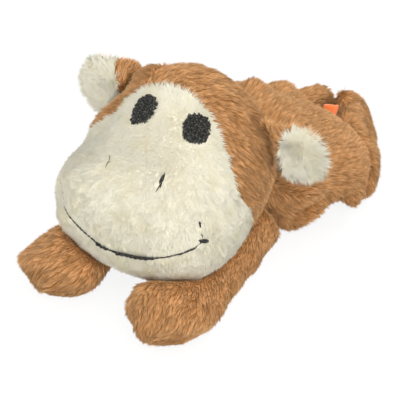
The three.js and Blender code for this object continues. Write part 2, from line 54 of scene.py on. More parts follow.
# Torso
# A stuffed trunk of two panels, a back and a belly, sewn together along the sides and filled as cloth
# under pressure. Its brown cloth is a knitted backing with napped polyester pile, brushed towards the rump
# and down the sides. Each strand stands for a bundle of fibres, because one fibre is too fine to show.
MM = 0.001
TORSO_NODES = ("back_panel", "belly_panel")
CLOTH_SQUARES = 1.8 * MM
CLOTH_GIVE = 0.8 * MM
CLOTH_MASS = 0.0005
CLOTH_PRESSURE = 40
CLOTH_STEPS = 20
SMOOTH_ROUNDS = 6
MERGE_WITHIN = 0.001 * MM
SKIN_DEPTH = 0.9 * MM
CORE_SLACK = 0.6 * MM
CORE_OVERLAP = 0.5 * MM
BROWN_PILE_LENGTH = 2.3 * MM
BROWN_STRAND_WIDTH = 0.28 * MM
BROWN_STRANDS = 11
BROWN_CLUMP = 1.25 * MM
CLUMP_TINT = 0.65
SHORTEST_STRAND = 0.75
LENGTH_SPREAD = 0.25
MOTTLE_SIZE = 6 * MM
MOTTLE_BAND = (0.45, 0.7)
KNIT_LOOP = 0.8 * MM
SLOW_RUFFLE = 9 * MM
FINE_RUFFLE = 3 * MM
SLOW_STRENGTH = 0.35
FLOOR_CLEAR = 0.05 * MM
# The heights between which the skin's depth and the pile's density and length become full, and the shares
# of depth and length below them.
DEPTH_HEIGHTS = (0.5 * MM, 5 * MM)
COVER_HEIGHTS = (0.7 * MM, 1.5 * MM)
LENGTH_HEIGHTS = (1.0 * MM, 5.0 * MM)
FLOOR_DEPTH = 0.2
FLOOR_LENGTH = 0.4
# How far from another part the pile is pressed and free, and the shares that pressed pile keeps.
PRESS_REACH = (1.0 * MM, 2.0 * MM)
PRESSED_COVER = 0.8
PRESSED_LENGTH = 0.5
TORSO_FLANK = (8 * MM, 26 * MM)
TORSO_NAP = np.array((0.25, 1.0, -0.15))
TORSO_DROOP = np.array((0.0, -0.2, -0.5))
TORSO_LUMPS = (
    ((0.5, 37, 28.5), 10, (-1.3, 2.1, 3.5)),
    ((-1, 19, 38.5), 8, (-0.8, 1.2, 2.1)),
    ((37, 24.5, 8.5), 8, (2.2, -2.4, -3.6)),
    ((35.5, 29.5, 4.5), 8, (1.6, -2.0, -0.8)),
    ((34.3, 13, 8), 7, (-2.6, 2.4, 3.4)),
    ((31.3, 17.5, 6), 6, (-1.5, 1.0, 2.5)),
    ((24.3, 2.9, 4), 8, (0.9, -2.0, -0.3)),
    ((29.5, 5, 5), 6, (0.6, -1.2, -0.2)),
    ((28.6, 2, 10), 5, (-1.5, 2.4, 0)),
    ((31.4, 3.6, 12.5), 5, (-1.9, 2.2, 0)),
    ((33.4, 6.8, 14), 5, (-2.2, 1.5, 0)),
    ((27.3, 0.6, 18), 6, (1.0, -1.7, 0)),
    ((31, 3, 20.5), 6, (1.0, -1.6, 0)),
)

seams = {joint["name"]: Vector(joint["pos_m"]) for joint in frame["joints"]}


def linear(hex_colour):
    """An sRGB hex colour as linear red, green, blue and alpha."""
    channels = [int(hex_colour[i : i + 2], 16) / 255 for i in (1, 3, 5)]
    return [c / 12.92 if c <= 0.04045 else ((c + 0.055) / 1.055) ** 2.4 for c in channels] + [1.0]


def add_node(tree, kind, inputs=None, **settings):
    """Adds a node with its settings. An input given as a socket is linked, and any other value is set."""
    node = tree.nodes.new(kind)
    for name, value in settings.items():
        setattr(node, name, value)
    for key, value in (inputs or {}).items():
        if isinstance(key, int):
            socket = node.inputs[key]
        else:
            socket = next(s for s in node.inputs if s.name == key and s.enabled)
        if isinstance(value, bpy.types.NodeSocket):
            tree.links.new(value, socket)
        else:
            socket.default_value = value
    return node


def new_material(name, roughness):
    """A plain material. Its tree and its Principled node are returned with it."""
    material = bpy.data.materials.new(name)
    material.use_nodes = True
    tree = material.node_tree
    shader = tree.nodes["Principled BSDF"]
    shader.inputs["Roughness"].default_value = roughness
    return material, tree, shader


def object_noise(tree, size, detail, distortion=0.0):
    """Noise over the whole object, in patches of a size."""
    place = add_node(tree, "ShaderNodeTexCoord").outputs["Object"]
    inputs = {"Vector": place, "Scale": 1 / size, "Detail": detail, "Distortion": distortion}
    return add_node(tree, "ShaderNodeTexNoise", inputs).outputs["Fac"]


def ranged(tree, value, low, high, start=0.0, end=1.0):
    """A value between a start and an end, brought to lie between low and high."""
    inputs = {"Value": value, "From Min": start, "From Max": end, "To Min": low, "To Max": high}
    return add_node(tree, "ShaderNodeMapRange", inputs).outputs[0]


def mix(tree, kind, share, first, second):
    """A mix of two colours, vectors or numbers."""
    inputs = {"Factor": share, "A": first, "B": second}
    return add_node(tree, "ShaderNodeMix", inputs, data_type=kind).outputs["Result"]


def paint(tree, shader, share, first, second):
    """Colours a material with a mix of two hex colours."""
    colour = mix(tree, "RGBA", share, linear(first), linear(second))
    tree.links.new(colour, shader.inputs["Base Color"])


def add_bump(tree, shader, height, depth, strength=1.0, invert=False):
    """Gives a material a fine relief."""
    inputs = {"Height": height, "Distance": depth, "Strength": strength}
    bump = add_node(tree, "ShaderNodeBump", inputs, invert=invert).outputs["Normal"]
    tree.links.new(bump, shader.inputs["Normal"])


def pile_material(name, root, middle, tip, mottle, share, contrast, even):
    """Napped polyester pile: matt fibres, with painted shade that darkens them at the roots, down between them,
    and painted light that pales them at the brushed tips.
    Fibres pass light on to each other, so each is shaded in part as the skin that it stands on."""
    material, tree, shader = new_material(name, 0.9)
    along = add_node(tree, "ShaderNodeAttribute", attribute_name="along").outputs["Fac"]
    tint = add_node(tree, "ShaderNodeAttribute", attribute_name="tint").outputs["Fac"]
    skin = add_node(tree, "ShaderNodeAttribute", attribute_name="skin").outputs["Vector"]
    # The ramp from root to tip is painted light and shade: shade painted dark at the roots, between the fibres,
    # and light painted pale at the tips.
    ramp = add_node(tree, "ShaderNodeValToRGB", {"Fac": along})
    ramp.color_ramp.elements[0].color = linear(root)
    ramp.color_ramp.elements[1].color = linear(tip)
    ramp.color_ramp.elements.new(0.45).color = linear(middle)
    patches = object_noise(tree, MOTTLE_SIZE, 3.0)
    amount = ranged(tree, patches, 0.0, share, *MOTTLE_BAND)
    colour = mix(tree, "RGBA", amount, ramp.outputs["Color"], linear(mottle))
    value = ranged(tree, tint, 1 - contrast, 1 + contrast)
    shaded = add_node(tree, "ShaderNodeHueSaturation", {"Value": value, "Color": colour}).outputs["Color"]
    tree.links.new(shaded, shader.inputs["Base Color"])
    facing = add_node(
        tree,
        "ShaderNodeVectorTransform",
        {"Vector": skin},
        vector_type="NORMAL",
        convert_from="OBJECT",
        convert_to="WORLD",
    ).outputs[0]
    own = add_node(tree, "ShaderNodeNewGeometry").outputs["Normal"]
    tree.links.new(mix(tree, "VECTOR", even, own, facing), shader.inputs["Normal"])
    shader.inputs["Specular IOR Level"].default_value = 0.1
    return material


def backing_material(name, light, dark):
    """The knitted backing under the pile: matt, with small loops."""
    material, tree, shader = new_material(name, 0.95)
    place = add_node(tree, "ShaderNodeTexCoord").outputs["Object"]
    loops = add_node(
        tree, "ShaderNodeTexVoronoi", {"Vector": place, "Scale": 1 / KNIT_LOOP}, feature="F1"
    ).outputs["Distance"]
    paint(tree, shader, loops, light, dark)
    add_bump(tree, shader, loops, 0.2 * MM, strength=0.5, invert=True)
    return material


# The brown's dark root colour is painted shade between the fibres, and its pale tip colour is painted light.
brown_pile = pile_material(
    "brown_polyester_pile", "#7C4D25", "#B98552", "#DDB284", "#9C6838", 0.35, contrast=0.4, even=0.5
)
# The brown backing is darker than the pile: painted shade, so that the gaps between the strands show dark.
brown_backing = backing_material("brown_knitted_backing", "#A06B3A", "#875730")


def mesh_of(build, name):
    """The mesh of a finished build."""
    mesh = bpy.data.meshes.new(name)
    build.to_mesh(mesh)
    build.free()
    return mesh


def placed(name, data):
    """A new object in the scene."""
    thing = bpy.data.objects.new(name, data)
    bpy.context.collection.objects.link(thing)
    return thing


def pile_strand():
    """One strand of pile, 1 long and 1 wide at its root, that ends in a point."""
    build = bmesh.new()
    along = build.verts.layers.float.new("along")
    root = []
    for k in range(3):
        angle = 2 * math.pi * k / 3
        root.append(build.verts.new((0.5 * math.cos(angle), 0.5 * math.sin(angle), 0)))
    tip = build.verts.new((0, 0, 1))
    tip[along] = 1.0
    for k in range(3):
        build.faces.new((root[k], root[(k + 1) % 3], tip))
    return placed("pile_strand", mesh_of(build, "pile_strand"))


strand = pile_strand()


def new_tree(name, sockets):
    """An empty Geometry Nodes tree with named inputs. Its input and output nodes are returned with it."""
    tree = bpy.data.node_groups.new(name, "GeometryNodeTree")
    tree.interface.new_socket("Geometry", in_out="OUTPUT", socket_type="NodeSocketGeometry")
    tree.interface.new_socket("Geometry", in_out="INPUT", socket_type="NodeSocketGeometry")
    for label, kind in sockets.items():
        tree.interface.new_socket(label, in_out="INPUT", socket_type=kind)
    return tree, tree.nodes.new("NodeGroupInput").outputs, tree.nodes.new("NodeGroupOutput").inputs


def maths(tree, operation, *values):
    """An operation on numbers."""
    return add_node(tree, "ShaderNodeMath", dict(enumerate(values)), operation=operation).outputs[0]


def vectors(tree, operation, first, second):
    """An operation on two vectors."""
    inputs = {0: first, 1: second}
    return add_node(tree, "ShaderNodeVectorMath", inputs, operation=operation).outputs[0]


def scaled(tree, vector, factor):
    """A vector times a number."""
    inputs = {0: vector, "Scale": factor}
    return add_node(tree, "ShaderNodeVectorMath", inputs, operation="SCALE").outputs[0]


def written(tree, name, kind):
    """A value that is written on the points of a mesh."""
    node = add_node(tree, "GeometryNodeInputNamedAttribute", {"Name": name}, data_type=kind)
    return node.outputs["Attribute"]


def write(tree, points, name, value, kind):
    """Points with a value written on them."""
    inputs = {"Geometry": points, "Name": name, "Value": value}
    return add_node(tree, "GeometryNodeStoreNamedAttribute", inputs, data_type=kind).outputs[0]


def chance_value(tree, low, high, seed, kind):
    """The node for a value of each point's own."""
    inputs = {"Min": low, "Max": high, "Seed": seed}
    return add_node(tree, "FunctionNodeRandomValue", inputs, data_type=kind)


def copies(tree, model, points, turn, size, material):
    """Copies of an object at points, as one smooth mesh with a material."""
    shape = add_node(tree, "GeometryNodeObjectInfo", {"Object": model}).outputs["Geometry"]
    inputs = {"Points": points, "Instance": shape, "Rotation": turn, "Scale": size}
    laid = add_node(tree, "GeometryNodeInstanceOnPoints", inputs).outputs[0]
    real = add_node(tree, "GeometryNodeRealizeInstances", {"Geometry": laid}).outputs[0]
    smooth = add_node(tree, "GeometryNodeSetShadeSmooth", {"Geometry": real}).outputs[0]
    return add_node(tree, "GeometryNodeSetMaterial", {"Geometry": smooth, "Material": material}).outputs[0]


def pile_tree():
    """Pile on a skin: strands that lean along its nap, gathered into clumps, each with its own length
    and tint."""
    numbers = ("Count", "Length", "Width", "Clump", "Gather", "Lean", "Stray")
    sockets = {
        "Strand": "NodeSocketObject",
        **dict.fromkeys(numbers, "NodeSocketFloat"),
        "Seed": "NodeSocketInt",
        "Pile": "NodeSocketMaterial",
        "Backing": "NodeSocketMaterial",
    }
    tree, given, result = new_tree("napped_pile", sockets)
    cover = written(tree, "cover", "FLOAT")
    height = written(tree, "height", "FLOAT")
    nap = written(tree, "nap", "FLOAT_VECTOR")
    density = maths(tree, "MULTIPLY", cover, given["Count"])
    roots = add_node(
        tree,
        "GeometryNodeDistributePointsOnFaces",
        {"Mesh": given["Geometry"], "Density": density, "Seed": given["Seed"]},
    ).outputs
    place = add_node(tree, "GeometryNodeInputPosition").outputs[0]
    cells = maths(tree, "DIVIDE", 1.0, given["Clump"])
    clumps = add_node(tree, "ShaderNodeTexVoronoi", {"Vector": place, "Scale": cells}, feature="F1").outputs
    inwards = vectors(tree, "SUBTRACT", clumps["Position"], place)
    pull = maths(tree, "DIVIDE", given["Gather"], given["Length"])
    spread = chance_value(tree, (-1, -1, -1), (1, 1, 1), given["Seed"], "FLOAT_VECTOR").outputs[0]
    upright = vectors(tree, "ADD", roots["Normal"], scaled(tree, nap, given["Lean"]))
    together = vectors(tree, "ADD", upright, scaled(tree, inwards, pull))
    towards = vectors(tree, "ADD", together, scaled(tree, spread, given["Stray"]))
    turn = add_node(tree, "FunctionNodeAlignRotationToVector", {"Vector": towards}, axis="Z").outputs[0]
    own = chance_value(tree, 0.0, 1.0, given["Seed"], "FLOAT").outputs[1]
    shared = add_node(tree, "ShaderNodeSeparateXYZ", {0: clumps["Color"]}).outputs
    uneven = maths(tree, "ADD", own, shared["Y"])
    share = maths(tree, "MULTIPLY_ADD", uneven, LENGTH_SPREAD, SHORTEST_STRAND)
    length = maths(tree, "MULTIPLY", maths(tree, "MULTIPLY", given["Length"], height), share)
    size = add_node(
        tree, "ShaderNodeCombineXYZ", {"X": given["Width"], "Y": given["Width"], "Z": length}
    ).outputs[0]
    tint = mix(tree, "FLOAT", CLUMP_TINT, own, shared["X"])
    tinted = write(tree, roots["Points"], "tint", tint, "FLOAT")
    facing = write(tree, tinted, "skin", roots["Normal"], "FLOAT_VECTOR")
    pile = copies(tree, given["Strand"], facing, turn, size, given["Pile"])
    skin = add_node(
        tree, "GeometryNodeSetMaterial", {"Geometry": given["Geometry"], "Material": given["Backing"]}
    ).outputs[0]
    both = add_node(tree, "GeometryNodeJoinGeometry", {"Geometry": skin})
    tree.links.new(pile, both.inputs[0])
    tree.links.new(both.outputs[0], result["Geometry"])
    return tree


napped_pile = pile_tree()


def made_plain(piece, tree, values):
    """Runs a tree on a piece with the given inputs, and leaves the piece as a plain mesh of the result.
    Pile that would pass below the floor is pressed flat on it."""
    modifier = piece.modifiers.new(tree.name, "NODES")
    modifier.node_group = tree
    for item in tree.interface.items_tree:
        if item.in_out == "INPUT" and item.name in values:
            modifier[item.identifier] = values[item.name]
    evaluated = piece.evaluated_get(bpy.context.evaluated_depsgraph_get())
    mesh = bpy.data.meshes.new_from_object(evaluated)
    mesh.name = piece.name
    points = coordinates(mesh)
    points[:, 2] = np.maximum(points[:, 2], FLOOR_CLEAR)
    move_to(mesh, points)
    piece.modifiers.remove(modifier)
    piece.data = mesh


def nearest_to(names):
    """A search tree over the surfaces of CAD nodes."""
    points = []
    triangles = []
    for name in names:
        mesh = frame["nodes"][name].data
        start = len(points)
        points.extend(vertex.co.copy() for vertex in mesh.vertices)
        triangles.extend([start + i for i in face.vertices] for face in mesh.polygons)
    return BVHTree.FromPolygons(points, triangles)


def distances(points, names):
    """How far each point is from the nearest of some CAD nodes."""
    surface = nearest_to(names)
    return np.array([surface.find_nearest(Vector(p))[3] for p in points])


def coordinates(mesh):
    """The points of a mesh as rows of an array."""
    flat = np.zeros(len(mesh.vertices) * 3)
    mesh.vertices.foreach_get("co", flat)
    return flat.reshape(-1, 3)


def outward(mesh):
    """The normals of a mesh's points as rows of an array."""
    flat = np.zeros(len(mesh.vertices) * 3, np.float32)
    mesh.vertex_normals.foreach_get("vector", flat)
    return flat.reshape(-1, 3).astype(float)


def move_to(mesh, points):
    """Puts the points of a mesh at the rows of an array."""
    mesh.vertices.foreach_set("co", points.ravel())
    mesh.update()


def ramped(values, low, high):
    """0 below the low value, 1 above the high one, and an even slope between them."""
    return np.clip((values - low) / (high - low), 0, 1)


def rising(low, share):
    """A value that goes from a low one up to 1."""
    return low + (1 - low) * share


def merged_copy(node, swell):
    """A copy of a CAD node's mesh with its points merged, moved out along its normals."""
    build = bmesh.new()
    build.from_mesh(frame["nodes"][node].data)
    bmesh.ops.remove_doubles(build, verts=build.verts, dist=MERGE_WITHIN)
    build.normal_update()
    for vertex in build.verts:
        vertex.co += vertex.normal * swell
    return mesh_of(build, node + "_copy")


def with_modifier(form, kind, **settings):
    """Applies one modifier to a form."""
    modifier = form.modifiers.new(kind.lower(), kind)
    for name, value in settings.items():
        setattr(modifier, name, value)
    evaluated = form.evaluated_get(bpy.context.evaluated_depsgraph_get())
    form.data = bpy.data.meshes.new_from_object(evaluated)
    form.modifiers.clear()


def keep_outside(mesh):
    """Removes the loose shells inside a mesh, which keeps only the largest one."""
    build = bmesh.new()
    build.from_mesh(mesh)
    waiting = set(build.verts)
    shells = []
    while waiting:
        front = [waiting.pop()]
        shell = list(front)
        while front:
            vertex = front.pop()
            for edge in vertex.link_edges:
                other = edge.other_vert(vertex)
                if other in waiting:
                    waiting.remove(other)
                    front.append(other)
                    shell.append(other)
        shells.append(shell)
    shells.sort(key=len)
    for shell in shells[:-1]:
        bmesh.ops.delete(build, geom=shell, context="VERTS")
    build.to_mesh(mesh)
    build.free()


def puffed(form, give):
    """Fills a form as cloth under pressure, and lets no point move further than the cloth gives."""
    start = coordinates(form.data)
    cloth = form.modifiers.new("cloth", "CLOTH")
    cloth.settings.mass = CLOTH_MASS
    cloth.settings.use_pressure = True
    cloth.settings.uniform_pressure_force = CLOTH_PRESSURE
    cloth.settings.effector_weights.gravity = 0
    cloth.collision_settings.use_collision = False
    for number in range(1, CLOTH_STEPS + 1):
        bpy.context.scene.frame_set(number)
    evaluated = form.evaluated_get(bpy.context.evaluated_depsgraph_get())
    step = coordinates(evaluated.data) - start
    form.modifiers.remove(cloth)
    bpy.context.scene.frame_set(1)
    length = np.linalg.norm(step, axis=1)
    step *= np.minimum(1, give / np.maximum(length, 1e-9))[:, None]
    move_to(form.data, start + step)


def relaxed(mesh, rounds, depth):
    """Smooths the flats out of a form, and then moves its skin in by a depth, less so by the floor."""
    pairs = np.zeros(len(mesh.edges) * 2, np.int32)
    mesh.edges.foreach_get("vertices", pairs)
    first, second = pairs.reshape(-1, 2).T
    points = coordinates(mesh)
    number = np.bincount(pairs, minlength=len(points))[:, None]
    for _ in range(rounds):
        total = np.zeros_like(points)
        np.add.at(total, first, points[second])
        np.add.at(total, second, points[first])
        points += 0.5 * (total / number - points)
    move_to(mesh, points)
    above = rising(FLOOR_DEPTH, ramped(points[:, 2], *DEPTH_HEIGHTS))
    move_to(mesh, points - outward(mesh) * above[:, None] * depth)


def stuffed_form(name, cover_nodes, core_node, slack, squares=CLOTH_SQUARES, depth=SKIN_DEPTH):
    """The skin of a stuffed part: its cover with the stuffing swollen to fill it, puffed out as cloth."""
    build = bmesh.new()
    for node in cover_nodes:
        build.from_mesh(merged_copy(node, 0))
    if core_node:
        build.from_mesh(merged_copy(core_node, slack + CORE_OVERLAP))
    form = placed(name, mesh_of(build, name))
    with_modifier(form, "REMESH", mode="VOXEL", voxel_size=squares)
    keep_outside(form.data)
    puffed(form, CLOTH_GIVE)
    with_modifier(form, "SUBSURF", levels=1, render_levels=1)
    relaxed(form.data, SMOOTH_ROUNDS, depth)
    return form


def nudged(form, moves):
    """Pushes a form out or in: each move is a place on it, a reach round that and a step, in mm."""
    points = coordinates(form.data)
    total = np.zeros_like(points)
    for place, reach, step in moves:
        apart = np.linalg.norm(points - np.array(place) * MM, axis=1)
        near = 1 - ramped(apart, 0, reach * MM)
        total += (near**2 * (3 - 2 * near))[:, None] * np.array(step) * MM
    move_to(form.data, points + total)


def panels(form, nodes, rule=None):
    """Cuts a form into one piece for each CAD node, by the node that each face lies nearest to.
    Where a rule gives a number for a face's middle, the face goes to the node with that number."""
    mesh = form.data
    trees = [nearest_to([node]) for node in nodes]
    owners = []
    for face in mesh.polygons:
        owner = min(range(len(nodes)), key=lambda k: trees[k].find_nearest(face.center)[3])
        chosen = rule(face.center) if rule else None
        owners.append(owner if chosen is None else chosen)
    pieces = []
    for k, node in enumerate(nodes):
        build = bmesh.new()
        build.from_mesh(mesh)
        build.faces.ensure_lookup_table()
        others = [face for face, owner in zip(build.faces, owners) if owner != k]
        bmesh.ops.delete(build, geom=others, context="FACES")
        piece = placed(node + "_pile", mesh_of(build, node + "_pile"))
        piece.data.shade_smooth()
        pieces.append(piece)
    bpy.data.objects.remove(form)
    return pieces


def unit(rows):
    """Directions of length 1."""
    return rows / np.maximum(np.linalg.norm(rows, axis=1), 1e-9)[:, None]


# The noise that ruffles the nap starts from a fixed seed, so that each run gives the same pile.
noise.seed_set(5)


def brush(piece, nap, strength, free, height, curl=0.3, bare=0):
    """Writes the nap's direction and lean, and how dense and how long the pile is, on the points of a skin.
    Pile that another part presses on is thin and short. On the floor there is none, and just above it the
    pile is short and lies level."""
    mesh = piece.data
    points = coordinates(mesh)
    normals = outward(mesh)
    above = ramped(points[:, 2], *LENGTH_HEIGHTS)
    slow = np.array([noise.noise_vector(Vector(p) / SLOW_RUFFLE) for p in points])
    fine = np.array([noise.noise_vector(Vector(p) / FINE_RUFFLE) for p in points])
    nap = unit(nap) + SLOW_STRENGTH * slow + curl * fine
    nap[:, 2] = np.where(nap[:, 2] < 0, nap[:, 2] * above, nap[:, 2])
    flat = unit(nap - normals * np.sum(nap * normals, axis=1)[:, None]) * strength[:, None]
    cover = rising(PRESSED_COVER, free) * (1 - bare) * ramped(points[:, 2], *COVER_HEIGHTS)
    height = height * rising(PRESSED_LENGTH, free) * rising(FLOOR_LENGTH, above)
    mesh.attributes.new("nap", "FLOAT_VECTOR", "POINT").data.foreach_set("vector", flat.ravel())
    mesh.attributes.new("cover", "FLOAT", "POINT").data.foreach_set("value", cover)
    mesh.attributes.new("height", "FLOAT", "POINT").data.foreach_set("value", height)


def neighbours(body):
    """The covers of the bodies that lie against one body."""
    soft = ("cover", "panel", "ear_front", "ear_back")
    names = []
    for other, members in frame["record"]["behaviour"]["bodies"].items():
        if other != body:
            names.extend(node for node in members if node.endswith(soft))
    return names


def clear_of(points, body):
    """How far the pile is free of the parts that press on it: 0 where it is covered."""
    return ramped(distances(points, neighbours(body)), *PRESS_REACH)


brown_values = {
    "Strand": strand,
    "Count": BROWN_STRANDS / MM**2,
    "Length": BROWN_PILE_LENGTH,
    "Width": BROWN_STRAND_WIDTH,
    "Clump": BROWN_CLUMP,
    "Gather": 1.4,
    "Lean": 2.3,
    "Stray": 0.35,
    "Pile": brown_pile,
    "Backing": brown_backing,
}


def sew_on(piece, node, body):
    """A padded piece that stands for its CAD node and moves with a body."""
    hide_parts(node)
    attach(piece, body)


def brown_cloth(piece, node, body, nap, seed):
    """Brushes a piece of brown cloth along its nap, grows its pile and sews it on."""
    points = coordinates(piece.data)
    whole = np.ones(len(points))
    brush(piece, nap, whole, clear_of(points, body), whole)
    made_plain(piece, napped_pile, {**brown_values, "Seed": seed})
    sew_on(piece, node, body)


torso_form = stuffed_form("torso", TORSO_NODES, "torso_stuffing", CORE_SLACK)
nudged(torso_form, TORSO_LUMPS)
for seed, (piece, node) in enumerate(zip(panels(torso_form, TORSO_NODES), TORSO_NODES)):
    low = 1 - ramped(coordinates(piece.data)[:, 2], *TORSO_FLANK)
    brown_cloth(piece, node, "torso", TORSO_NAP + low[:, None] * TORSO_DROOP, 1 + seed)


# Head
# A cranium and a broad muzzle in one stuffed form, of a brown cover and a cream face panel sewn in along a
# curved seam. The brown nap runs over the crown and down the cheeks, beside the seam.
HEAD_NODES = ("head_cover", "face_panel")
SEWN_NODES = ("left_eye", "right_eye", "left_nostril", "right_nostril", "mouth_stitch")
HEAD_SLACK = 1.8 * MM
HEAD_SQUARES = 1.3 * MM
CRANIUM_FROM_NECK = Vector((0, -14.5, 9)) * MM
HEART_FROM_NECK = Vector((0, -26.5, 4.5)) * MM
PARTING = -12 * MM
BACKWARD = 0.3
HEAD_LUMPS = (
    ((-27.3, -26, 39.6), 13, (-2.4, 0, 1.9)),
    ((0, -9, 59), 18, (0, 0.3, 0.5)),
    ((-18.5, -16, 55.5), 9, (-0.9, 1.2, 2.0)),
    ((2, 3, 55), 10, (0.3, 0.7, 0.5)),
    ((-19, -56.3, 23.7), 7, (-0.9, -0.5, 0)),
    ((-22.5, -53.8, 31), 7, (1.3, 0.8, -0.4)),
)

head_form = stuffed_form("head", HEAD_NODES + SEWN_NODES, "head_stuffing", HEAD_SLACK, HEAD_SQUARES)
nudged(head_form, HEAD_LUMPS)
head_surface = BVHTree.FromObject(head_form, bpy.context.evaluated_depsgraph_get())
heart = seams["head_nod"] + HEART_FROM_NECK
head_cover, face_panel = panels(head_form, HEAD_NODES)

points = coordinates(head_cover.data)
from_crown = points - np.array(seams["head_nod"] + CRANIUM_FROM_NECK)
sideways = np.where(from_crown[:, 0] > PARTING, 1.0, -1.0)
back = BACKWARD * np.linalg.norm(from_crown, axis=1)
nap = np.stack((sideways * from_crown[:, 2], back, -sideways * from_crown[:, 0]), axis=1)
brown_cloth(head_cover, "head_cover", "head", nap, 11)


# Stitched face
# Eyes filled with short stitches, a few stitches for each nostril and a smile in back stitch, all in black
# embroidery thread, pulled down into the pile of the face. The pile covers the thin ends of the smile.
EYE_HALF_HEIGHT = 4.2 * MM
EYE_ROW = 0.42 * MM
EYE_STEP = 1.6 * EYE_ROW
EYE_THREAD = 0.5 * MM
EYE_MARGIN = 1.2
EYE_ROUNDNESS = 2.5
EYE_EDGE = 0.9
EYE_CORNER = (0.5 * MM, -3.9 * MM)
EYE_LAYERS = (0.6 * MM, 0.95 * MM)
EYE_STITCH_TURN = 0.9
# How far the eye stitches wander across and along, and the shortest and the longest of them, in mm.
EYE_WANDER = (0.15, 0.2)
EYE_STITCH_LENGTHS = (1.2, 1.9)
THREAD_SPECK = 0.4 * MM
# The way from the head's heart to the smile's corners, the right one first, and to its middle.
MOUTH_CORNERS_OUT = (22.3, 24.5)
MOUTH_FORWARD = 28.8
MOUTH_CORNER_FORWARD = 20.5
MOUTH_DROP = 7.1
MOUTH_CORNER_DROPS = (-2.0, 0.4)
MOUTH_STITCHES = 36
MOUTH_STITCH_OVERLAP = 1.5
NOSTRIL_STITCH_OVERLAP = 1.2
NOSTRIL_RISE = 0.45 * MM


def thread_material():
    """Cotton embroidery thread: near black and matt, with small paler grey specks."""
    material, tree, shader = new_material("black_cotton_thread", 0.8)
    ramp = add_node(tree, "ShaderNodeValToRGB", {"Fac": object_noise(tree, THREAD_SPECK, 3.0)})
    ramp.color_ramp.elements[0].position = 0.5
    ramp.color_ramp.elements[0].color = linear("#191917")
    ramp.color_ramp.elements[1].position = 0.78
    ramp.color_ramp.elements[1].color = linear("#6A6963")
    tree.links.new(ramp.outputs["Color"], shader.inputs["Base Color"])
    shader.inputs["Specular IOR Level"].default_value = 0.2
    return material


black_thread = thread_material()


def thread_stitch():
    """One stitch along X, 1 long, 1 wide and 1 high, whose ends dive into the cloth."""
    build = bmesh.new()
    rings = []
    for along in (-0.5, -0.36, -0.12, 0.12, 0.36, 0.5):
        swell = max(1 - (2 * along) ** 4, 0.12)
        rise = 0.3 - 1.6 * along**2
        ring = []
        for k in range(6):
            angle = 2 * math.pi * k / 6
            aside = 0.5 * swell * math.cos(angle)
            ring.append(build.verts.new((along, aside, rise + 0.5 * swell * math.sin(angle))))
        rings.append(ring)
    for near, far in zip(rings, rings[1:]):
        for k in range(6):
            build.faces.new((near[k], near[(k + 1) % 6], far[(k + 1) % 6], far[k]))
    build.faces.new(rings[0])
    build.faces.new(rings[-1])
    bmesh.ops.recalc_face_normals(build, faces=build.faces)
    return placed("thread_stitch", mesh_of(build, "thread_stitch"))


stitch = thread_stitch()


def stitch_tree():
    """Stitches at points: each lies along its run, with its back to the cloth, at its own size."""
    tree, given, result = new_tree(
        "sewn_stitches", {"Stitch": "NodeSocketObject", "Thread": "NodeSocketMaterial"}
    )
    run = written(tree, "run", "FLOAT_VECTOR")
    out = written(tree, "out", "FLOAT_VECTOR")
    size = written(tree, "size", "FLOAT_VECTOR")
    places = add_node(tree, "GeometryNodeMeshToPoints", {"Mesh": given["Geometry"]}).outputs[0]
    turn = add_node(
        tree,
        "FunctionNodeAxesToRotation",
        {"Primary Axis": run, "Secondary Axis": out},
        primary_axis="X",
        secondary_axis="Z",
    ).outputs[0]
    sewn = copies(tree, given["Stitch"], places, turn, size, given["Thread"])
    tree.links.new(sewn, result["Geometry"])
    return tree


sewn_stitches = stitch_tree()
partings = []


def embroider(node, rows, bare):
    """Sews stitches, each given as its place, run, outward direction and size, in place of a CAD node.
    Each also says how bare it lies: 1 where the pile is parted round it, and 0 where the pile covers it."""
    mesh = bpy.data.meshes.new(node + "_thread")
    mesh.from_pydata([row[0] for row in rows], [], [])
    for column, name in ((1, "run"), (2, "out"), (3, "size")):
        values = np.array([row[column] for row in rows], float).ravel()
        mesh.attributes.new(name, "FLOAT_VECTOR", "POINT").data.foreach_set("vector", values)
    for (place, run, _, size), share in zip(rows, bare):
        step = run.normalized() * size[0] / 3
        partings.extend((place + step * k, share) for k in (-1, 0, 1))
    piece = placed(node + "_thread", mesh)
    made_plain(piece, sewn_stitches, {"Stitch": stitch, "Thread": black_thread})
    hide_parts(node)
    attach(piece, "head")


def face_point(direction):
    """Where a line from the head's heart comes out of its skin, and the direction that the skin faces."""
    return head_surface.ray_cast(heart, direction.normalized())[:2]


def eye_stitches(node, seed, half_width, shift, drop, point):
    """Layers of short stitches, every way, that fill a squarish oval with a point at its lower corner."""
    chance = np.random.default_rng(seed)
    low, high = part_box(node)
    centre, normal = face_point((low + high) / 2 - heart)
    side = normal.cross(Vector((0, 0, 1))).normalized()
    up = side.cross(normal)
    centre -= side * shift + up * drop
    width = EYE_MARGIN * half_width
    height = EYE_MARGIN * EYE_HALF_HEIGHT
    rows = []
    for rise in EYE_LAYERS:
        for across in np.arange(-width, width, EYE_ROW):
            for along in np.arange(-height, height, EYE_STEP):
                u = across + chance.normal(0, EYE_WANDER[0]) * MM
                v = along + chance.normal(0, EYE_WANDER[1]) * MM
                oval = abs(u / half_width) ** EYE_ROUNDNESS + abs(v / EYE_HALF_HEIGHT) ** EYE_ROUNDNESS
                corner = math.hypot(u - EYE_CORNER[0], v - EYE_CORNER[1])
                if oval > EYE_EDGE and corner > point:
                    continue
                over = centre + side * u + up * v
                place, facing = head_surface.ray_cast(over + normal * 5 * MM, -normal)[:2]
                run = up + side * chance.normal(0, EYE_STITCH_TURN)
                length = chance.uniform(*EYE_STITCH_LENGTHS) * MM
                rows.append((place + facing * rise, run, facing, (length, EYE_THREAD, EYE_THREAD)))
    return rows


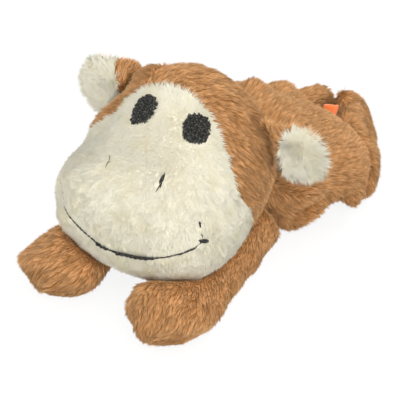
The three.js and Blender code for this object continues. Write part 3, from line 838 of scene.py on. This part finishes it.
# Each eye: its seed, then its half width, shift to the left, drop and the size of its point, in mm.
EYES = {"left_eye": (21, 3.7, -0.1, 0.6, 0), "right_eye": (22, 3.45, 2.0, 0.6, 1.5)}
for node, (seed, *sizes) in EYES.items():
    rows = eye_stitches(node, seed, *[size * MM for size in sizes])
    embroider(node, rows, [1] * len(rows))

# Each nostril stitch: where it starts and ends along the nostril, its thickness in mm and how bare it is.
NOSTRIL_STITCHES = {
    "left_nostril": (
        (0.0, 0.5, 0.5, 0.8),
        (0.1, 0.65, 0.8, 1),
        (0.4, 0.9, 0.5, 0.6),
        (0.55, 1.2, 0.3, 0.4),
    ),
    "right_nostril": ((0.0, 0.55, 0.3, 0.2), (0.4, 1.0, 0.3, 0.1)),
}
# How far the top and the bottom of each nostril lie to the left of its let-in place and above it, in mm.
NOSTRIL_SHIFTS = {"left_nostril": ((1.2, 1.0), (2.2, 0.6)), "right_nostril": ((1.4, -0.2), (2.9, 0.9))}
for node, stitches in NOSTRIL_STITCHES.items():
    low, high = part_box(node)
    across = (low.x + high.x) / 2
    (top_aside, top_up), (bottom_aside, bottom_up) = NOSTRIL_SHIFTS[node]
    top = face_point(Vector((across + top_aside * MM, high.y, high.z + top_up * MM)) - heart)[0]
    bottom = face_point(Vector((across + bottom_aside * MM, low.y, low.z + bottom_up * MM)) - heart)[0]
    run = bottom - top
    rows = []
    for k, (start, end, thick, _) in enumerate(stitches):
        place, facing = face_point(top + run * (start + end) / 2 - heart)
        aside = run.cross(facing).normalized() * (0.3 * (k % 2) - 0.15) * MM
        size = (run.length * (end - start) * NOSTRIL_STITCH_OVERLAP, thick * MM, thick * MM)
        rows.append((place + aside + facing * NOSTRIL_RISE, run + aside * 4, facing, size))
    embroider(node, rows, [bare for _, _, _, bare in stitches])

# The smile's thickness in mm and how bare it lies, from the monkey's right corner to its left one.
MOUTH_AT = (-1.0, -0.62, -0.57, -0.2, -0.16, -0.03, 0.0, 0.08, 0.11, 0.5, 0.56, 0.75, 0.8, 0.93, 0.96, 1.0)
MOUTH_THICK = (0.3, 0.35, 0.5, 0.55, 1.1, 1.0, 0.65, 0.65, 1.25, 1.15, 0.55, 0.5, 0.65, 0.65, 0.3, 0.3)
MOUTH_BARE = (0.1, 0.2, 0.9, 0.9, 1.0, 1.0, 1.0, 1.0, 1.0, 1.0, 0.75, 0.6, 1.0, 1.0, 0.2, 0.2)
mouth_line = []
for k in range(MOUTH_STITCHES + 1):
    t = 2 * k / MOUTH_STITCHES - 1
    forward = MOUTH_FORWARD + (MOUTH_CORNER_FORWARD - MOUTH_FORWARD) * t**2
    corner_drop = MOUTH_CORNER_DROPS[0 if t < 0 else 1]
    drop = MOUTH_DROP + (corner_drop - MOUTH_DROP) * abs(t) ** (1.6 if t < 0 else 2)
    aside = MOUTH_CORNERS_OUT[0 if t < 0 else 1] * t
    mouth_line.append(face_point(Vector((aside, -forward, -drop))))
rows = []
bare = []
for k, ((start, out), (end, _)) in enumerate(zip(mouth_line, mouth_line[1:])):
    t = (2 * k + 1) / MOUTH_STITCHES - 1
    thick = np.interp(t, MOUTH_AT, MOUTH_THICK) * MM
    run = end - start
    place = start.lerp(end, 0.5) + out * (0.2 * MM + 0.4 * thick)
    rows.append((place, run, out, (run.length * MOUTH_STITCH_OVERLAP, thick, thick)))
    bare.append(np.interp(t, MOUTH_AT, MOUTH_BARE))
# A tack lies across the smile's left end. Above it stand three stitches, given as their height over the
# corner, their length and their thickness in mm.
MOUTH_END_STITCHES = ((1.8, 1.2, 0.4), (4.4, 1.1, 0.5), (5.2, 1.2, 0.7))
corner = mouth_line[-1][0]
place, out = face_point(corner + Vector((0.9, 0, 0.2)) * MM - heart)
tack = Vector((-0.3, 0.5, 0.8)).cross(out)
rows.append((place + out * 0.5 * MM, tack, out, (4.0 * MM, 1.2 * MM, 1.0 * MM)))
bare.append(1.0)
for rise, length, thick in MOUTH_END_STITCHES:
    place, out = face_point(corner + Vector((0.1, 0, rise)) * MM - heart)
    rows.append((place + out * 0.6 * MM, Vector((-0.3, 0, 1)), out, (length * MM, thick * MM, thick * MM)))
    bare.append(0.8)
embroider("mouth_stitch", rows, bare)


# Face panel
# Cream pile cloth, shorter and softer than the brown, brushed away from between the eyes, so that it lies
# over the brown at the seam. It is parted where the thread pulls it down.
CREAM_PILE_LENGTH = 1.7 * MM
CREAM_STRAND_WIDTH = 0.28 * MM
CREAM_STRANDS = 9.2
PARTING_NEAR = 0.6 * MM
PARTING_FAR = 1.3 * MM
SEAM_EDGE = (1.0 * MM, 4 * MM)
BROW_REACH = (5 * MM, 25 * MM)

# The cream's darker root colour is painted shade between the clumps, and its paler tip colour is painted light.
cream_pile = pile_material(
    "cream_polyester_pile", "#E3DCC5", "#EAE5D1", "#F0ECDB", "#E0D7B2", 0.45, contrast=0.04, even=0.85
)
cream_backing = backing_material("cream_knitted_backing", "#E8E3CF", "#DED7BF")


def opened_at(points):
    """How far the pile is parted by the stitches near each point."""
    search = KDTree(len(partings))
    for k, (place, _) in enumerate(partings):
        search.insert(place, k)
    search.balance()
    opened = np.zeros(len(points))
    for i, point in enumerate(points):
        for _, k, distance in search.find_range(point, PARTING_FAR):
            share = partings[k][1] * (1 - ramped(distance, PARTING_NEAR, PARTING_FAR))
            opened[i] = max(opened[i], share)
    return opened


eye_corners = [np.array(corner) for node in ("left_eye", "right_eye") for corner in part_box(node)]
brow = sum(eye_corners) / 4
points = coordinates(face_panel.data)
from_brow = np.linalg.norm(points - brow, axis=1)
edge = 1 - ramped(distances(points, ["head_cover"]), *SEAM_EDGE)
brush(
    face_panel,
    points - brow,
    0.25 + 0.4 * ramped(from_brow, *BROW_REACH) + 0.3 * edge,
    clear_of(points, "head"),
    0.9 + 0.3 * edge,
    curl=0.6,
    bare=opened_at(points),
)
cream_values = {
    **brown_values,
    "Count": CREAM_STRANDS / MM**2,
    "Length": CREAM_PILE_LENGTH,
    "Width": CREAM_STRAND_WIDTH,
    "Clump": 1.2 * MM,
    "Gather": 0.7,
    "Stray": 0.5,
    "Pile": cream_pile,
    "Backing": cream_backing,
}
made_plain(face_panel, napped_pile, {**cream_values, "Seed": 12})
sew_on(face_panel, "face_panel", "head")


# Ears
# Each ear is a flat pad with a cream front and a brown back, turned out through its root and sewn to the
# side of the head. The cream pile is long here, curls round the dimple and stands out over the rim.
EAR_SQUARES = 1.4 * MM
EAR_SKIN_DEPTH = 1.8 * MM
EAR_PILE_LENGTH = 3.0 * MM
EAR_DIMPLE_OUT = 32.5 * MM
EAR_FRONT_MIDDLE = 37.2 * MM
EAR_FRONT_HALF = (7.6 * MM, 9.8 * MM)
FAR_RIM_IN = -31 * MM
FAR_RIM_BACK = -12.6 * MM
EAR_DIMPLE = (3 * MM, 8 * MM)
EAR_SWIRL = 0.5
EAR_FALL = np.array((3 * MM, 0, -2 * MM))
EAR_ROOT_SIDE = -0.3
EAR_LUMPS = {
    "left": (
        ((44, -12, 46), 9, (-0.3, 0, 0)),
        ((36.5, -13, 54.5), 8, (0, 0.2, 1.3)),
        ((32.5, -16.5, 44), 5, (0, 1.4, 0)),
    ),
    "right": (
        ((-43.5, -12.5, 42), 10, (-2.2, -0.8, -0.3)),
        ((-37, -13, 54), 9, (-0.2, 0.6, 2.1)),
        ((-28, -13.5, 52.5), 8, (1.7, 3.0, 2.9)),
        ((-25.7, -13.5, 49.5), 7, (2.3, 1.7, 0.2)),
        ((-36, -13, 36.5), 8, (-1.3, -0.3, -1.1)),
        ((-32.5, -16.5, 44), 5, (0, 1.4, 0)),
    ),
}
ear_values = {
    **cream_values,
    "Count": 1.9 * cream_values["Count"],
    "Length": EAR_PILE_LENGTH,
    "Clump": 1.5 * MM,
    "Gather": 1.1,
    "Lean": 1.4,
}
for seed, (side, sign) in enumerate((("left", 1), ("right", -1))):
    nodes = (side + "_ear_front", side + "_ear_back")
    form = stuffed_form(side + "_ear", nodes, None, 0, EAR_SQUARES, EAR_SKIN_DEPTH)
    nudged(form, EAR_LUMPS[side])
    low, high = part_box(nodes[0])
    dimple = np.array((low + high) / 2)
    dimple[0] = sign * EAR_DIMPLE_OUT

    def ear_panel(place):
        """The near ear's brown back comes round the root up to the rounded edge of the cream front.
        The far ear's cream front goes over the rim."""
        if side == "right":
            return 0 if place.x < FAR_RIM_IN and place.y < FAR_RIM_BACK else None
        out = (place.x - EAR_FRONT_MIDDLE) / EAR_FRONT_HALF[0]
        up = (place.z - dimple[2]) / EAR_FRONT_HALF[1]
        return 1 if out < 0 and math.hypot(out, up) > 1 else None

    front, back = panels(form, nodes, ear_panel)
    points = coordinates(front.data)
    from_dimple = points - dimple
    swirl = np.cross(np.array((0, -sign, 0)), from_dimple)
    outer = ramped(np.linalg.norm(from_dimple, axis=1), *EAR_DIMPLE)
    nap = from_dimple + EAR_SWIRL * swirl + EAR_FALL * (sign, 1, 1)
    free = clear_of(points, side + "_ear")
    brush(front, nap, rising(0.35, outer), free, rising(0.8, outer), curl=0.9)
    made_plain(front, napped_pile, {**ear_values, "Seed": 31 + seed})
    sew_on(front, nodes[0], side + "_ear")
    points = coordinates(back.data)
    wrapped = outward(back.data)[:, 1] < EAR_ROOT_SIDE
    upward = np.where(points[:, 2] > dimple[2], 1.0, -1.0)
    nap = np.tile(np.array((sign, 0.3, -0.3)), (len(points), 1))
    nap[wrapped] = (-0.4 * sign, 0, 0)
    nap[wrapped, 2] = upward[wrapped]
    brown_cloth(back, nodes[1], side + "_ear", nap, 35 + seed)


# Arms and legs
# Four stuffed tubes of the same brown pile cloth, each turned out and closed by hand at its seam on the
# trunk. The nap runs from the seam to the paw and down the sides.
LIMB_NAPS = {
    "left_arm": (0.15, -1.0, -0.35),
    "right_arm": (-0.15, -1.0, -0.35),
    "left_leg": (0.3, 0.25, -0.9),
    "right_leg": (0.2, 0.6, -0.6),
}
LIMB_LUMPS = {
    "left_arm": (
        ((29, -42, 7), 9, (2.1, 0.3, -0.4)),
        ((27, -33, 6), 9, (1.2, 0.3, -0.4)),
        ((24, -22, 5), 8, (1.0, 0, -0.3)),
        ((30, -49, 5), 7, (1.2, 0.3, -0.4)),
        ((30.5, -58.5, 4), 7, (-0.8, 0.4, 0.4)),
        ((18, -67, 5), 9, (0, -2.2, -0.8)),
        ((7, -63, 6), 7, (-1.5, -0.8, 0)),
    ),
    "right_arm": (
        ((-27.6, -58, 16.2), 9, (1.3, 0.6, -1.6)),
        ((-31.3, -62.1, 9.1), 7, (-1.5, -1.4, 0)),
        ((-21, -66, 4.3), 7, (0.3, -0.7, -0.2)),
    ),
    "left_leg": (
        ((21, 59.3, 17), 9, (-2.2, -1.6, -1.2)),
        ((27.3, 50.7, 15.8), 9, (-2.3, -1.5, -1.1)),
        ((12.2, 56.1, 21.1), 7, (-1.4, -0.4, 2.0)),
        ((34.7, 33.3, 4.5), 7, (1.2, -1.2, -0.8)),
    ),
    "right_leg": (((1, 62, 17), 8, (-0.2, 0.6, 1.1)),),
}
for seed, (limb, direction) in enumerate(LIMB_NAPS.items()):
    cover_node = limb + "_cover"
    form = stuffed_form(limb, [cover_node], limb + "_stuffing", CORE_SLACK)
    nudged(form, LIMB_LUMPS[limb])
    piece = panels(form, [cover_node])[0]
    nap = np.tile(np.array(direction), (len(piece.data.vertices), 1))
    brown_cloth(piece, cover_node, limb, nap, 41 + seed)

bpy.data.objects.remove(strand)
bpy.data.objects.remove(stitch)


# Stuffing
# A wad of white polyester fibre in the trunk, the head and each limb, teased apart and pushed in by hand.
# It fills its cover and isn't seen until a seam is opened.
STUFFED = ("torso", "head", *LIMB_NAPS)
WAD_SQUARES = 2.5 * MM
WAD_SLACK = 2.0 * MM
WAD_ROUNDS = 3
WAD_STRANDS = 1 * MM


def woolly_material(name, light, dark, size, twist, depth):
    """Loose or felted fibre: pale, matt and woolly."""
    material, tree, shader = new_material(name, 1.0)
    wool = object_noise(tree, size, 4.0, twist)
    paint(tree, shader, wool, light, dark)
    add_bump(tree, shader, wool, depth)
    return material


white_fill = woolly_material("white_polyester_fill", "#DAD9D4", "#F6F5F1", WAD_STRANDS, 1.5, 0.5 * MM)
for body in STUFFED:
    wad = placed(body + "_wad", merged_copy(body + "_stuffing", 0))
    with_modifier(wad, "REMESH", mode="VOXEL", voxel_size=WAD_SQUARES)
    relaxed(wad.data, WAD_ROUNDS, WAD_SLACK)
    wad.data.shade_smooth()
    wad.data.materials.append(white_fill)
    sew_on(wad, body + "_stuffing", body)


# Magnets
# A nickel-plated disc magnet in a pocket of white wool felt lies at the bottom of each paw, under the
# cloth. Both keep their CAD shape.
FELT_FIBRE = 0.4 * MM
RUBBED_PATCH = 1.5 * MM

wool_felt = woolly_material("white_wool_felt", "#CFCAC0", "#EFEBE3", FELT_FIBRE, 2.0, 0.1 * MM)

# Nickel plate over the magnet: bright grey metal, rubbed a little duller in patches.
nickel_plate, tree, shader = new_material("nickel_plate", 0.3)
rough = ranged(tree, object_noise(tree, RUBBED_PATCH, 3.0), 0.2, 0.4)
tree.links.new(rough, shader.inputs["Roughness"])
shader.inputs["Base Color"].default_value = linear("#C4C4C0")
shader.inputs["Metallic"].default_value = 1.0

for limb in LIMB_NAPS:
    for node, material in ((limb + "_magnet_pocket", wool_felt), (limb + "_magnet", nickel_plate)):
        mesh = frame["nodes"][node].data
        mesh.materials.clear()
        mesh.materials.append(material)


# Seam label
# A plain loop of orange satin ribbon, folded in two, with both ends caught in the seam of the rump.
# It stands up at a slant, and waves a little across its width.
LABEL_LIFT = 57
LABEL_WIDTH = 4.7 * MM
LABEL_REACH = 5.4 * MM
LABEL_SLANT = 0.3
LABEL_SHIFT = 1.8 * MM
LABEL_START = 0.9 * MM
LABEL_BEND = 0.6 * MM
LABEL_WAVE = 0.2 * MM
RIBBON = 0.3 * MM
RIB_SPACING = 0.4


def satin_material():
    """Polyester satin: smooth orange, with a soft sheen and fine ribs across the ribbon."""
    material, tree, shader = new_material("orange_satin_ribbon", 0.4)
    place = add_node(tree, "ShaderNodeUVMap", uv_map="ribbon").outputs["UV"]
    ribs = add_node(
        tree,
        "ShaderNodeTexWave",
        {"Vector": place, "Scale": 2 * math.pi / 20 / RIB_SPACING, "Distortion": 0.4},
        bands_direction="Y",
    ).outputs["Fac"]
    paint(tree, shader, ribs, "#E2691F", "#F4813B")
    add_bump(tree, shader, ribs, 0.02 * MM)
    shader.inputs["Sheen Weight"].default_value = 0.3
    return material


def ribbon_loop():
    """The ribbon's outline from seam to fold and back, swept over its width, with its UVs in mm."""
    fold_at = LABEL_REACH - LABEL_BEND
    outline = [(y, LABEL_BEND) for y in np.linspace(LABEL_START, fold_at, 7)]
    for angle in np.linspace(0, math.pi, 9)[1:-1]:
        outline.append((fold_at + LABEL_BEND * math.sin(angle), LABEL_BEND * math.cos(angle)))
    outline.extend((y, -LABEL_BEND) for y in np.linspace(fold_at, LABEL_START, 7))
    build = bmesh.new()
    layer = build.loops.layers.uv.new("ribbon")
    columns = []
    for across in np.linspace(-0.5, 0.5, 9) * LABEL_WIDTH:
        column = []
        for y, z in outline:
            free = (y - LABEL_START) / LABEL_REACH
            wave = LABEL_WAVE * math.cos(across / LABEL_WIDTH * math.pi) * free
            column.append(build.verts.new((across, y + LABEL_SLANT * across * free, z + wave)))
        columns.append(column)
    for left, right in zip(columns, columns[1:]):
        for k in range(len(outline) - 1):
            face = build.faces.new((left[k], left[k + 1], right[k + 1], right[k]))
            for loop in face.loops:
                loop[layer].uv = (loop.vert.co.x / MM, loop.vert.co.y / MM)
    bmesh.ops.recalc_face_normals(build, faces=build.faces)
    mesh = mesh_of(build, "seam_label_ribbon")
    axis = next(Vector(joint["axis"]) for joint in frame["joints"] if joint["name"] == "label_flap")
    lift = Matrix.Rotation(math.radians(LABEL_LIFT), 4, "X")
    turn = Matrix.Rotation(math.atan2(axis.y, axis.x), 4, "Z")
    mesh.transform(Matrix.Translation(seams["label_flap"] + axis * LABEL_SHIFT) @ turn @ lift)
    return mesh


ribbon = placed("seam_label_ribbon", ribbon_loop())
with_modifier(ribbon, "SOLIDIFY", thickness=RIBBON, offset=0)
ribbon.data.shade_smooth()
ribbon.data.materials.append(satin_material())
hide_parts("seam_label")
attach(ribbon, "label")


# Floor, light and camera
# A pale floor that runs into a white surround, three broad soft lamps, and the camera above the left paw.
# The lamps and the camera face the head.
FLOOR_HALF = 3
FLOOR_GLOW = 0.88
ROOM_LIGHT = 0.8
LAMP_SIZE = 0.6
# Each lamp's place, and its power in watts.
LAMPS = {
    "key_box": ((0.5, -0.53, 0.6), 6.8),
    "fill_box": ((-0.4, -0.6, 0.5), 2.3),
    "back_box": ((0.3, 0.6, 0.7), 4.6),
}
VIEW_TARGET = seams["head_nod"] + Vector((5, -18, -7)) * MM
CAMERA_FROM_NECK = Vector((211.13, -323.6, 251.11)) * MM
CAMERA_LENS = 133.65
CAMERA_SENSOR = 36

floor_mesh = bpy.data.meshes.new("floor")
floor_corners = [(FLOOR_HALF * x, FLOOR_HALF * y, 0) for x, y in ((-1, -1), (1, -1), (1, 1), (-1, 1))]
floor_mesh.from_pydata(floor_corners, [], [(0, 1, 2, 3)])
floor = placed("floor", floor_mesh)


def seen_white(tree):
    """1 for what the camera sees straight, in a reflection or through glass, and 0 for other light."""
    path = add_node(tree, "ShaderNodeLightPath").outputs
    direct = maths(tree, "MAXIMUM", path["Is Camera Ray"], path["Is Glossy Ray"])
    return maths(tree, "MAXIMUM", direct, path["Is Transmission Ray"])


floor_paint, tree, shader = new_material("matt_white_floor", 1.0)
shader.inputs["Base Color"].default_value = linear("#F2F2F0")
glow = add_node(tree, "ShaderNodeEmission", {"Color": (1, 1, 1, 1), "Strength": 1.0}).outputs[0]
share = maths(tree, "MULTIPLY", seen_white(tree), FLOOR_GLOW)
mixed = add_node(tree, "ShaderNodeMixShader", {0: share, 1: shader.outputs[0], 2: glow}).outputs[0]
tree.links.new(mixed, tree.nodes["Material Output"].inputs["Surface"])
floor_mesh.materials.append(floor_paint)

world = bpy.data.worlds.new("soft_room")
bpy.context.scene.world = world
world.use_nodes = True
room = world.node_tree
ambient = room.nodes["Background"]
ambient.inputs["Color"].default_value = (1, 1, 1, 1)
room.links.new(ranged(room, seen_white(room), ROOM_LIGHT, 1.0), ambient.inputs["Strength"])


def aim(thing, place):
    """Puts a lamp or the camera at a place, facing the monkey."""
    thing.location = place
    thing.rotation_euler = (VIEW_TARGET - Vector(place)).to_track_quat("-Z", "Y").to_euler()


for name, (place, power) in LAMPS.items():
    lamp_data = bpy.data.lights.new(name, "AREA")
    lamp_data.energy = power
    lamp_data.size = LAMP_SIZE
    aim(placed(name, lamp_data), place)

camera_data = bpy.data.cameras.new("camera")
camera_data.lens = CAMERA_LENS
camera_data.sensor_width = CAMERA_SENSOR
camera = placed("camera", camera_data)
aim(camera, seams["head_nod"] + CAMERA_FROM_NECK)
bpy.context.scene.camera = camera
